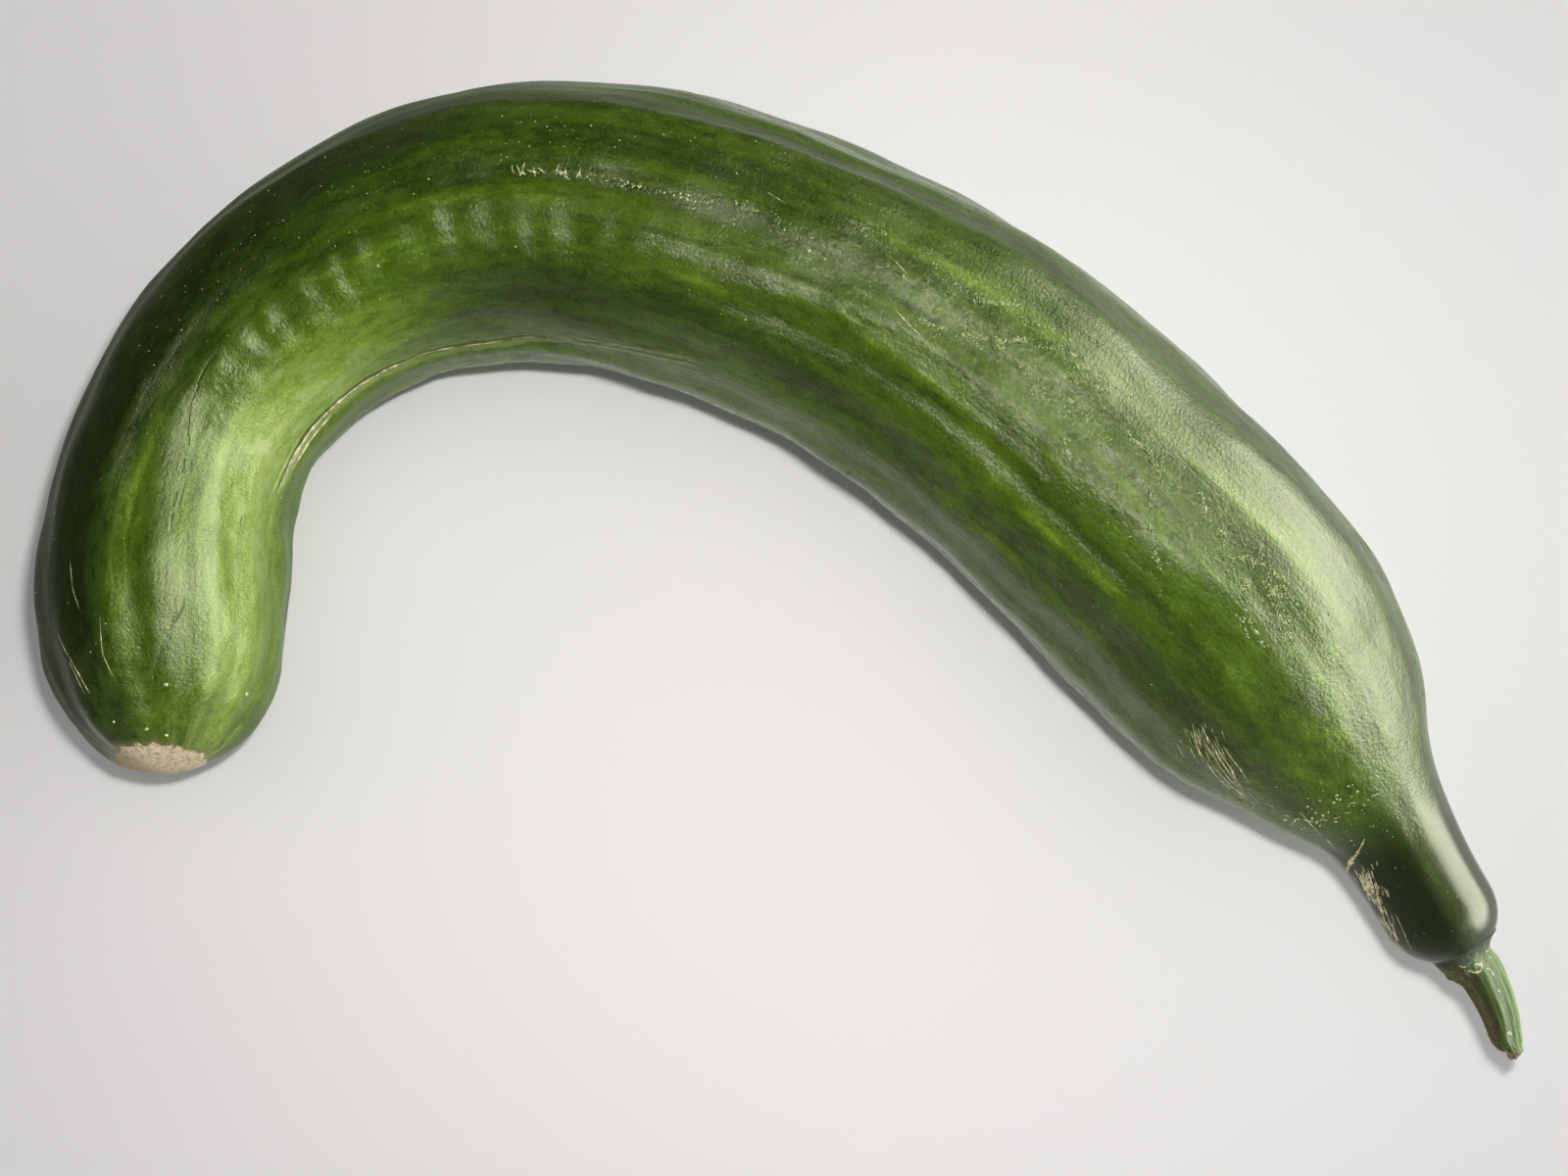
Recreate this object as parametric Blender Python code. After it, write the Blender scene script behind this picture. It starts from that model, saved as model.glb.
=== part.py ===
"""A hooked cucumber as picked, lying on its side: the fruit and the stub of its stalk.

Metres, +Z up. The origin is on the table, under the middle of the object's box.
The fruit's centre line runs from the blossom end, round the hook, to the stalk end.
"""

import math

import bmesh
import bpy
import numpy as np

MM = 0.001

# The fruit's centre line, in millimetres: x, y, girth radius, and how far its underside is lifted off the table.
FRUIT_STATIONS = (
    (-103.6, -37.5, 20.2, 5.2),  # blossom tip, curled a little upwards
    (-106.5, -18.0, 20.7, 1.6),
    (-107.7, -6.0, 21.7, 0.5),
    (-107.7, 6.0, 21.3, 0.0),  # first resting point, under the short leg
    (-102.7, 25.1, 20.2, 0.7),
    (-88.8, 43.1, 20.9, 1.0),  # the tight bend
    (-67.0, 56.5, 23.0, 1.0),
    (-41.4, 61.8, 25.1, 0.6),
    (-16.3, 58.2, 26.4, 0.0),  # second resting point, under the arch
    (11.7, 47.6, 26.4, 0.6),
    (38.5, 31.0, 27.1, 0.9),
    (61.8, 9.7, 27.8, 0.4),
    (76.0, -4.3, 28.0, 0.0),  # third resting point, under the belly
    (89.6, -20.5, 25.5, 0.2),
    (96.0, -28.4, 22.0, 3.5),
    (101.8, -36.6, 16.9, 8.6),
    (107.9, -44.8, 12.0, 13.2),
    (113.0, -53.5, 10.2, 14.9),
    (121.7, -69.2, 10.0, 15.4),  # stalk end of the neck
)
BLOSSOM_DOME = 24.0  # length over which the blossom end rounds off
NECK_DOME = 9.5  # the same at the stalk end
PRESSED_DEPTH = 0.4  # how deep the three resting points are pressed flat

# Relief of the skin, in millimetres.
LOBES, LOBE_HEIGHT, LOBE_TURN = 3, 0.35, 0.6  # the three seed chambers make the girth slightly three-sided
RIBS, RIB_HEIGHT, RIB_ANGLE = 5, 0.5, 33.0  # broad ribs, the first at this angle, with three fine ones to each
FINE_RIB_HEIGHT = 0.2
RIB_WANDER = ((31.0, 0.06, 1.3), (13.0, 0.03, 0.0))  # they stray as they run: length scale, radians, start
SWELLS = ((23.0, 2, 0.32), (11.5, -3, 0.24), (7.3, 5, 0.18), (3.4, -4, 0.12))  # length scale, turns, height
SEAM_ANGLE, SEAM_DEPTH, SEAM_WIDTH = -80.0, 0.7, 1.8  # fold in the skin inside the bend
SEAM_STARTS, SEAM_ENDS = (58.0, 76.0), (140.0, 165.0)  # it deepens and fades over these distances
NECK_STARTS, NECK_FLATTENING = (290.0, 312.0), 0.75  # the ribs flatten by this much over these distances
SMOOTH_UNDERSIDE = (0.7, 0.95)  # the relief fades between these depths below the middle, 1 being the very bottom
RIBLESS_RADIUS, RIBBED_RADIUS = 6.0, 14.0  # the ribs grow from nothing to full height round the rounded ends
SCAR_RADIUS, SCAR_DEPTH = 8.8, 0.5  # corky blossom scar, a shallow disc on the tip
SCAR_EDGE = (0.8, 1.1)  # parts of its radius between which its edge slopes up

# The dimple round the stalk's foot, and the stalk, in millimetres.
DIMPLE_RADIUS, DIMPLE_DEPTH = 5.4, 1.0
FOOT_GAP, FOOT_RUN = 0.3, 2.2  # the stalk leaves the fruit straight for this length
STALK_STATIONS = (
    (123.3, -71.3, 25.0),
    (124.7, -74.0, 25.2),
    (126.1, -77.4, 25.5),
    (127.0, -81.0, 25.8),
    (127.8, -84.2, 26.0),
    (128.9, -86.7, 26.0),
)
STALK_GIRTH = (
    (0.0, 4.95),  # distance from the foot, radius
    (0.9, 4.9),
    (2.4, 4.5),
    (4.2, 4.0),
    (6.3, 3.5),
    (10.7, 3.0),
    (15.0, 2.7),
    (17.4, 2.5),  # torn end of the stalk
    (18.3, 2.0),
    (18.8, 1.25),  # dry nub left on the tear
    (19.8, 1.15),
    (20.5, 0.8),
)
STALK_RIBS, STALK_RIB_HEIGHT = 5, 0.38
STALK_RIB_STARTS, STALK_RIB_ENDS = (1.0, 3.0), (16.5, 18.5)

FRUIT_SEGMENTS, FRUIT_RINGS = 48, 84
STALK_SEGMENTS, STALK_RINGS = 30, 22

SKIN_GREEN = (0.035, 0.095, 0.012, 1.0)
STALK_GREEN = (0.10, 0.20, 0.04, 1.0)


def clear_scene():
    for obj in list(bpy.data.objects):
        bpy.data.objects.remove(obj)


def smooth_step(low, high, value):
    t = np.clip((value - low) / (high - low), 0.0, 1.0)
    return t * t * (3 - 2 * t)


def spline_through(knots, rows, at):
    """Natural cubic spline through the rows, one row at each knot, read at the given places."""
    knots, rows = np.asarray(knots, float), np.asarray(rows, float)
    gap = np.diff(knots)
    slope = np.diff(rows, axis=0) / gap[:, None]
    matrix, right = np.eye(len(knots)), np.zeros_like(rows)
    for i in range(1, len(knots) - 1):
        matrix[i, i - 1 : i + 2] = gap[i - 1], 2 * (gap[i - 1] + gap[i]), gap[i]
        right[i] = 6 * (slope[i] - slope[i - 1])
    bend = np.linalg.solve(matrix, right)
    i = np.clip(np.searchsorted(knots, at) - 1, 0, len(gap) - 1)
    a, b, h = (np.asarray(at) - knots[i])[:, None], (knots[i + 1] - at)[:, None], gap[i][:, None]
    return (
        (bend[i] * b**3 + bend[i + 1] * a**3) / (6 * h)
        + (rows[i] / h - bend[i] * h / 6) * b
        + (rows[i + 1] / h - bend[i + 1] * h / 6) * a
    )


class CentreLine:
    """A smooth line through stations of x, y, z and radius, read by the distance along it in millimetres."""

    def __init__(self, stations, steps=1200):
        stations = np.asarray(stations, float)
        chords = np.linalg.norm(np.diff(stations[:, :3], axis=0), axis=1)
        knots = np.concatenate([[0], np.cumsum(chords)])
        rows = spline_through(knots, stations, np.linspace(0, knots[-1], steps))
        self.points, self.radii = rows[:, :3], rows[:, 3]
        steps_long = np.linalg.norm(np.diff(self.points, axis=0), axis=1)
        self.distance = np.concatenate([[0], np.cumsum(steps_long)])
        self.length = self.distance[-1]
        self.tangents = np.gradient(self.points, self.distance, axis=0)

    def read(self, values, along):
        return np.stack([np.interp(along, self.distance, column) for column in values.T], axis=-1)

    def frame(self, along):
        """Point, direction, upward and outward (convex side) unit vectors at each distance."""
        inside = np.clip(along, 0, self.length)
        tangent = self.read(self.tangents, inside)
        tangent /= np.linalg.norm(tangent, axis=1)[:, None]
        point = self.read(self.points, inside) + tangent * (along - inside)[:, None]
        outward = np.cross((0, 0, 1), tangent)
        outward /= np.linalg.norm(outward, axis=1)[:, None]
        return point, tangent, np.cross(tangent, outward), outward


def fruit_line():
    rows = np.array(FRUIT_STATIONS)
    height = rows[:, 2] + rows[:, 3] - PRESSED_DEPTH
    return CentreLine(np.column_stack([rows[:, :2], height, rows[:, 2]]))


def evenly_spaced(profile, count):
    """Points spaced evenly along a profile of (distance, radius)."""
    steps = np.concatenate([[0], np.cumsum(np.linalg.norm(np.diff(profile, axis=0), axis=1))])
    at = np.linspace(0, steps[-1], count)
    return np.column_stack([np.interp(at, steps, profile[:, 0]), np.interp(at, steps, profile[:, 1])])


def fruit_rings(line):
    """Distance and radius of each ring: blossom dome, body, neck dome, then the dimple for the stalk's foot."""
    quarter = np.linspace(0, math.pi / 2, 60)
    blossom = BLOSSOM_DOME * (1 - np.cos(quarter))
    end_radius = line.radii[-1]
    rim = math.asin(DIMPLE_RADIUS / end_radius)
    closing = np.linspace(math.pi / 2, rim, 30)
    neck = line.length - NECK_DOME * (1 - np.cos(closing))
    body = np.linspace(BLOSSOM_DOME, line.length - NECK_DOME, 300)[1:-1]
    distance = np.concatenate([blossom, body, neck])
    factor = np.concatenate([np.sin(quarter), np.ones(len(body)), np.sin(closing)])
    profile = np.column_stack([distance, factor * np.interp(distance, line.distance, line.radii)])
    rings = evenly_spaced(profile, FRUIT_RINGS - 2)
    rim_at, rim_radius = rings[-1]
    dimple = ((rim_at - DIMPLE_DEPTH, rim_radius - 0.1), (rim_at - DIMPLE_DEPTH, rim_radius / 2))
    return np.vstack([rings, dimple, (rim_at - DIMPLE_DEPTH, 0)])


def fruit_relief(along, angle, radius):
    """Height of the skin over a plain round girth, in millimetres. The side that it lies on stays smooth."""
    stray = sum(turned * np.sin(along / scale + start) for scale, turned, start in RIB_WANDER)
    turn = angle - math.radians(RIB_ANGLE) + stray
    ribs = RIB_HEIGHT * np.cos(RIBS * turn) + FINE_RIB_HEIGHT * np.cos(3 * RIBS * turn)
    lobes = LOBE_HEIGHT * np.cos(LOBES * angle - LOBE_TURN)
    swells = sum(high * np.sin(along / scale + turns * angle + turns) for scale, turns, high in SWELLS)
    on_seam = smooth_step(*SEAM_STARTS, along) * (1 - smooth_step(*SEAM_ENDS, along))
    across_seam = (angle - math.radians(SEAM_ANGLE)) * radius / SEAM_WIDTH
    seam = SEAM_DEPTH * on_seam * np.exp(-(across_seam**2))
    neck_fade = 1 - NECK_FLATTENING * smooth_step(*NECK_STARTS, along)
    closing = smooth_step(RIBLESS_RADIUS, RIBBED_RADIUS, radius)
    underside = smooth_step(*SMOOTH_UNDERSIDE, -np.cos(angle))
    scar = SCAR_DEPTH * (1 - smooth_step(*SCAR_EDGE, radius / SCAR_RADIUS)) * (along < BLOSSOM_DOME)
    return (((ribs + swells) * neck_fade + lobes) * closing - seam) * (1 - underside) - scar


def stalk_relief(along, angle, radius):
    """Five ribs that fade out at the foot and at the torn end."""
    inside = smooth_step(*STALK_RIB_STARTS, along) * (1 - smooth_step(*STALK_RIB_ENDS, along))
    return STALK_RIB_HEIGHT * inside * np.cos(STALK_RIBS * angle)


def swept_body(name, line, rings, segments, relief):
    """A closed body: a sphere's rings of vertices, set round the centre line at each ring's distance and radius."""
    shape = bmesh.new()
    last = len(rings) - 1
    bmesh.ops.create_uvsphere(shape, u_segments=segments, v_segments=last, radius=1)
    sphere = np.array([v.co for v in shape.verts])
    ring = np.rint(np.arccos(np.clip(sphere[:, 2], -1, 1)) / math.pi * last).astype(int)
    angle = np.arctan2(sphere[:, 1], sphere[:, 0])
    along, radius = rings[ring].T
    point, _, upward, outward = line.frame(along)
    reach = radius + relief(along, angle, radius) * (radius > 0)
    place = point + reach[:, None] * (np.cos(angle)[:, None] * upward + np.sin(angle)[:, None] * outward)
    place[:, 2] = np.maximum(place[:, 2], 0)  # what would dip below the table is pressed flat
    for vertex, co in zip(shape.verts, place * MM):
        vertex.co = co
    shape.normal_update()
    mesh = bpy.data.meshes.new(name)
    shape.to_mesh(mesh)
    shape.free()
    mesh.shade_smooth()
    body = bpy.data.objects.new(name, mesh)
    return body


def skin_material(name, colour, roughness):
    material = bpy.data.materials.new(name)
    material.use_nodes = True
    surface = material.node_tree.nodes["Principled BSDF"]
    surface.inputs["Base Color"].default_value = colour
    surface.inputs["Roughness"].default_value = roughness
    material.diffuse_color = colour
    return material


def make_fruit(line):
    rings = fruit_rings(line)
    fruit = swept_body("fruit", line, rings, FRUIT_SEGMENTS, fruit_relief)
    fruit.data.materials.append(skin_material("waxy_skin", SKIN_GREEN, 0.3))
    return fruit


def make_stalk(line):
    """The stalk stub, with its foot set into the fruit's dimple."""
    rings = fruit_rings(line)
    foot, tangent, _, _ = line.frame(np.array([rings[-1][0] + FOOT_GAP]))
    stations = np.vstack([foot, foot + FOOT_RUN * tangent, STALK_STATIONS])
    stalk_line = CentreLine(np.column_stack([stations, np.zeros(len(stations))]))
    foot_disc = np.array([(0.0, 0.0), STALK_GIRTH[0]])
    side = evenly_spaced(np.array(STALK_GIRTH), STALK_RINGS - 3)
    tip = (stalk_line.length, 0.0)
    rings = np.vstack([foot_disc[0], foot_disc[1] * (1, 0.5), side, tip])
    stalk = swept_body("stalk", stalk_line, rings, STALK_SEGMENTS, stalk_relief)
    stalk.data.materials.append(skin_material("stalk_skin", STALK_GREEN, 0.55))
    return stalk


def main():
    clear_scene()
    cucumber = bpy.data.collections.new("cucumber")
    bpy.context.scene.collection.children.link(cucumber)
    line = fruit_line()
    for piece in (make_fruit(line), make_stalk(line)):
        cucumber.objects.link(piece)


main()
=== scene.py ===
"""A hooked cucumber lying on a pale table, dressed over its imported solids, the fruit and its stalk.

Places on the fruit are given as millimetres along its centre line from the blossom end, and degrees round
it: 0 is up, 90 is the outside of the hook and -90 the inside. Meshes are scaled to metres as they are made.
"""

import math

import bmesh
import bpy
import numpy as np
from mathutils import Matrix, Vector, noise


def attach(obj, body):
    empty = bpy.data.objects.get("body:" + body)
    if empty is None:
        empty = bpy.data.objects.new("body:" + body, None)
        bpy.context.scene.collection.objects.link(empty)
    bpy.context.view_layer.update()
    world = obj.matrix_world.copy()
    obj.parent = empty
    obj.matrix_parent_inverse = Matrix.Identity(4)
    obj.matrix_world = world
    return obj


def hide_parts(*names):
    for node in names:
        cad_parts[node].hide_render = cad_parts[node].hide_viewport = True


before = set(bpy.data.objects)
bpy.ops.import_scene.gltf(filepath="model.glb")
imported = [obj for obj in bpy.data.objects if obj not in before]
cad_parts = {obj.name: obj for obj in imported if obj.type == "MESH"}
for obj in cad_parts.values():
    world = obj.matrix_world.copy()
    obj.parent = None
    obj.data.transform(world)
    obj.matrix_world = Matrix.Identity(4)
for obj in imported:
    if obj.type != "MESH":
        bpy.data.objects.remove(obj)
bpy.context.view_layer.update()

# The fruit is one heavy body that grew bent into a hook and lies on its side. Its skin is thin, tough and
# waxy, ribbed lengthways, dimpled over the arch and folded into a seam inside the bend. It is swept along a
# centre line through these stations: x, y, girth radius, and how far the underside is off the table.
MM = 0.001
FRUIT_STATIONS = (
    (-103.6, -37.5, 20.2, 5.2),
    (-106.5, -18.0, 20.7, 1.6),
    (-107.7, -6.0, 21.7, 0.5),
    (-107.7, 6.0, 21.3, 0.0),
    (-102.7, 25.1, 20.2, 0.7),
    (-88.8, 43.1, 20.9, 1.0),
    (-67.0, 56.5, 23.0, 1.0),
    (-41.4, 61.8, 25.1, 0.6),
    (-16.3, 58.2, 26.4, 0.0),
    (11.7, 47.6, 26.4, 0.6),
    (38.5, 31.0, 27.1, 0.9),
    (61.8, 9.7, 27.8, 0.4),
    (76.0, -4.3, 28.0, 0.0),
    (89.6, -20.5, 25.5, 0.2),
    (96.0, -28.4, 22.0, 3.5),
    (101.8, -36.6, 16.9, 8.6),
    (107.9, -44.8, 12.0, 13.2),
    (113.0, -53.5, 10.2, 14.9),
    (121.7, -69.2, 10.0, 15.4),
)
BLOSSOM_DOME, NECK_DOME = 24.0, 9.5
PRESSED_DEPTH = 0.4
FRUIT_SEGMENTS, FRUIT_RINGS = 228, 420
SKIN_INSET = 0.26  # keeps the finer relief inside the solid's own height


def smooth_step(low, high, value):
    """0 below low, 1 above high, and smooth between."""
    t = np.clip((value - low) / (high - low), 0.0, 1.0)
    return t * t * (3 - 2 * t)


def spline_through(knots, rows, at):
    """Natural cubic spline through the rows, one row at each knot, read at the given places."""
    knots, rows = np.asarray(knots, float), np.asarray(rows, float)
    gap = np.diff(knots)
    slope = np.diff(rows, axis=0) / gap[:, None]
    matrix, right = np.eye(len(knots)), np.zeros_like(rows)
    for i in range(1, len(knots) - 1):
        matrix[i, i - 1 : i + 2] = gap[i - 1], 2 * (gap[i - 1] + gap[i]), gap[i]
        right[i] = 6 * (slope[i] - slope[i - 1])
    bend = np.linalg.solve(matrix, right)
    i = np.clip(np.searchsorted(knots, at) - 1, 0, len(gap) - 1)
    a, b, h = (np.asarray(at) - knots[i])[:, None], (knots[i + 1] - at)[:, None], gap[i][:, None]
    return (
        (bend[i] * b**3 + bend[i + 1] * a**3) / (6 * h)
        + (rows[i] / h - bend[i] * h / 6) * b
        + (rows[i + 1] / h - bend[i + 1] * h / 6) * a
    )


class CentreLine:
    """A smooth line through stations of x, y, z and radius, read by the millimetres along it."""

    def __init__(self, stations, steps=1200):
        stations = np.asarray(stations, float)
        chords = np.linalg.norm(np.diff(stations[:, :3], axis=0), axis=1)
        knots = np.concatenate([[0], np.cumsum(chords)])
        rows = spline_through(knots, stations, np.linspace(0, knots[-1], steps))
        self.points, self.radii = rows[:, :3], rows[:, 3]
        steps_long = np.linalg.norm(np.diff(self.points, axis=0), axis=1)
        self.distance = np.concatenate([[0], np.cumsum(steps_long)])
        self.length = self.distance[-1]
        self.tangents = np.gradient(self.points, self.distance, axis=0)

    def read(self, values, along):
        """These values of the line's points, at each distance."""
        return np.stack([np.interp(along, self.distance, column) for column in values.T], axis=-1)

    def place(self, along, angle, reach):
        """Points this far out from the line at each distance and angle, and the directions outwards."""
        inside = np.clip(along, 0, self.length)
        tangent = self.read(self.tangents, inside)
        tangent /= np.linalg.norm(tangent, axis=-1)[..., None]
        outer = np.cross((0, 0, 1), tangent)
        outer /= np.linalg.norm(outer, axis=-1)[..., None]
        upper = np.cross(tangent, outer)
        middle = self.read(self.points, inside) + tangent * (along - inside)[..., None]
        outward = np.cos(angle)[..., None] * upper + np.sin(angle)[..., None] * outer
        return middle + np.asarray(reach)[..., None] * outward, outward


stations = np.array(FRUIT_STATIONS)
axis_height = stations[:, 2] + stations[:, 3] - PRESSED_DEPTH
fruit_line = CentreLine(np.column_stack([stations[:, :2], axis_height, stations[:, 2]]))


def girth(along):
    """Radius of the plain fruit at each distance, closing to nothing at both ends."""
    blossom = np.clip(along / BLOSSOM_DOME, 0, 1)
    neck = np.clip((fruit_line.length - along) / NECK_DOME, 0, 1)
    rounding = np.sqrt(1 - (1 - blossom) ** 2) * np.sqrt(1 - (1 - neck) ** 2)
    return rounding * np.interp(along, fruit_line.distance, fruit_line.radii)


def evenly_spaced(distance, radius, count):
    """Distances of this many rings that are equally far apart along the outline."""
    steps = np.concatenate([[0], np.cumsum(np.hypot(np.diff(distance), np.diff(radius)))])
    return np.interp(np.linspace(0, steps[-1], count), steps, distance)


def straightened(along, angle, radius):
    """The same places on a fruit with a straight centre line, so that a pattern on them runs lengthways."""
    return np.stack([along, radius * np.cos(angle), radius * np.sin(angle)], axis=-1)


def lumps(place, size, stretch=1.0, seed=0.0):
    """Smooth random heights from -1 to 1, with lumps of this size in millimetres, stretched lengthways."""
    scaled = place / (size * stretch, size, size) + seed
    return np.array([noise.noise(Vector(p)) for p in scaled.reshape(-1, 3)]).reshape(place.shape[:-1])


def stroke(along, angle, radius, path, width):
    """How much of each place lies on a soft lengthwise stroke, and how far beside it in millimetres."""
    at, turn = np.array(path, float).T
    across = (np.degrees(angle) - np.interp(along, at, turn) + 180) % 360 - 180
    offset = np.radians(across) * np.maximum(radius, 1)
    fade = min(12.0, (at[-1] - at[0]) / 3)
    begun = smooth_step(at[0] - fade, at[0] + fade, along)
    ended = smooth_step(at[-1] - fade, at[-1] + fade, along)
    return begun * (1 - ended) * np.exp(-((offset / width) ** 2)), offset


# Crests and furrows that stand out from the even ribs: height, width, and where each runs.
CRESTS = (
    (0.36, 1.1, ((85, 38), (100, 35), (120, 32), (140, 29), (170, 31), (200, 34))),
    (0.30, 1.1, ((80, 52), (110, 49), (140, 46), (175, 47), (205, 49))),
    (0.20, 1.2, ((140, -17), (160, -17), (180, -17), (200, -15))),
    (0.26, 1.4, ((150, -26), (165, -26), (180, -27), (200, -19), (206, -24), (225, -26), (255, -25))),
    (0.22, 1.5, ((214, 3), (240, -1), (268, -3))),
    (-0.10, 1.8, ((60, 5), (100, 2), (140, -2), (180, -3), (225, -3))),
    (-0.26, 1.8, ((185, -31), (220, -30), (290, -31))),
    (-0.20, 1.8, ((95, -61), (120, -63), (150, -62))),
    (-0.22, 1.6, ((30, -40), (50, -37), (66, -33))),
)
# Sharper ridges where two flat sides of the fruit meet: height, reach to either side, and where each runs.
BELLY_EDGE = (
    (136, -25),
    (160, -23),
    (180, -21),
    (196, -16),
    (214, -14),
    (232, -13),
    (250, -13),
    (266, -12),
    (284, -9),
)
LEG_EDGE = ((48, -34), (64, -32), (80, -30), (98, -29))
RIDGES = ((0.75, 5.0, BELLY_EDGE), (0.30, 4.0, LEG_EDGE))
# Soft swells of the solid: the length of a wave over two pi, its turns round the fruit, and its height.
SWELLS = ((23.0, 2, 0.32), (11.5, -3, 0.24), (7.3, 5, 0.18), (3.4, -4, 0.12))
RIBS, FIRST_RIB = 5, math.radians(33)
FOLD_ANGLE, FOLD_DEPTH, FOLD_WIDTH = math.radians(-80), 0.7, 1.8
DIMPLE_SPACING = 7.3
SCAR_RADIUS, SCAR_DEPTH = 8.0, 0.5


def skin_relief(along, angle, radius):
    """Height of the skin over a plain round girth: the solid's own relief, then finer dimples and lumps."""
    turn = angle - FIRST_RIB + 0.06 * np.sin(along / 31 + 1.3) + 0.03 * np.sin(along / 13)
    ribs = 0.5 * np.cos(RIBS * turn) + 0.2 * np.cos(3 * RIBS * turn)
    lobes = 0.35 * np.cos(3 * angle - 0.6)
    swell = sum(high * np.sin(along / scale + turns * angle + turns) for scale, turns, high in SWELLS)
    in_fold = smooth_step(58, 76, along) * (1 - smooth_step(140, 165, along))
    fold = FOLD_DEPTH * in_fold * np.exp(-(((angle - FOLD_ANGLE) * radius / FOLD_WIDTH) ** 2))
    closing = smooth_step(6, 14, radius)
    neck = smooth_step(290, 312, along)
    underside = smooth_step(0.7, 0.95, -np.cos(angle))
    base = ((ribs + swell) * (1 - 0.75 * neck) + lobes) * closing - fold

    straight = straightened(along, angle, radius)
    degrees = np.degrees(angle)
    over_arch = np.exp(-(((along - 112) / 52) ** 4) - (((degrees + 19) / 17) ** 2))
    crooked = along + 2.6 * lumps(straight, 12, 1, 3)
    waves = np.sin(crooked * math.tau / DIMPLE_SPACING) * (0.6 + 0.8 * lumps(straight, 9, 2, 9))
    corner = np.exp(-(((along - 84) / 26) ** 2) - (((degrees + 24) / 17) ** 2))
    detail = 0.24 * over_arch * waves + 0.34 * corner * lumps(straight, 3.6, 1, 12)
    over_belly = smooth_step(150, 185, along) * np.exp(-(((degrees + 10) / 28) ** 2))
    detail += 0.16 * lumps(straight, 6, 1.5) + (0.07 + 0.06 * over_belly) * lumps(straight, 2.3, 1.6, 5)
    detail += 0.16 * (1 - smooth_step(55, 90, along)) * lumps(straight, 4, 2, 7)
    for high, reach, path in RIDGES:
        on_ridge, from_ridge = stroke(along, angle, radius, path, 60)
        detail += high * on_ridge * (np.exp(-np.abs(from_ridge) / reach) - 0.6)
    furrows = 0.16 * np.cos(11 * angle + 0.8) * (1 - smooth_step(8, 22, along)) * smooth_step(8, 12, radius)
    for high, width, path in CRESTS:
        detail += high * stroke(along, angle, radius, path, width)[0]
    rough = 1 - 0.7 * neck
    in_scar = 1 - smooth_step(SCAR_RADIUS - 1.4, SCAR_RADIUS + 1.2, radius)
    scar = SCAR_DEPTH * in_scar * (along < BLOSSOM_DOME)
    return (base + detail * rough * closing + furrows) * (1 - underside) - scar - SKIN_INSET


def on_fruit(along, degrees, lift=0.0):
    """Places on the skin in metres, just clear of the table, and the directions outwards there."""
    along, angle = np.asarray(along, float), np.radians(np.asarray(degrees, float))
    radius = girth(along)
    place, outward = fruit_line.place(along, angle, radius + skin_relief(along, angle, radius) + lift)
    place[..., 2] = np.maximum(place[..., 2], 0.1)
    return place * MM, outward


def piece_from(shape, name, smooth=True):
    """Makes this shape a piece of the object, and lets go of the shape."""
    mesh = bpy.data.meshes.new(name)
    shape.to_mesh(mesh)
    shape.free()
    if smooth:
        mesh.shade_smooth()
    piece = bpy.data.objects.new(name, mesh)
    bpy.context.scene.collection.objects.link(piece)
    return piece


def keep(mesh, name, values):
    """Stores a number, or three, at each vertex, for the material to read."""
    kind, key = ("FLOAT", "value") if values.ndim == 1 else ("FLOAT_VECTOR", "vector")
    attribute = mesh.attributes.new(name, kind, "POINT")
    attribute.data.foreach_set(key, values.astype(np.float32).ravel())


def swept_skin(name, line, distance, radius, segments, relief):
    """A sphere whose rings are set round the line, each at its own distance and radius.

    It comes back with the distance, angle and radius that each of its vertices got.
    """
    shape = bmesh.new()
    last = len(distance) - 1
    bmesh.ops.create_uvsphere(shape, u_segments=segments, v_segments=last, radius=1)
    sphere = np.array([v.co for v in shape.verts])
    ring = np.rint(np.arccos(np.clip(sphere[:, 2], -1, 1)) / math.pi * last).astype(int)
    angle = np.arctan2(sphere[:, 1], sphere[:, 0])
    along, around = distance[ring], radius[ring]
    reach = around + relief(along, angle, around) * smooth_step(0, 1, around)
    place, _ = line.place(along, angle, reach)
    place[:, 2] = np.maximum(place[:, 2], 0)
    for vertex, co in zip(shape.verts, place * MM):
        vertex.co = co
    shape.normal_update()
    skin = piece_from(shape, name)
    keep(skin.data, "straight", straightened(along, angle, around))
    return skin, along, angle, around


profile = np.linspace(0, fruit_line.length, 4000)
ring_distance = evenly_spaced(profile, girth(profile), FRUIT_RINGS)
fruit, along, angle, radius = swept_skin(
    "fruit_skin", fruit_line, ring_distance, girth(ring_distance), FRUIT_SEGMENTS, skin_relief
)

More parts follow.
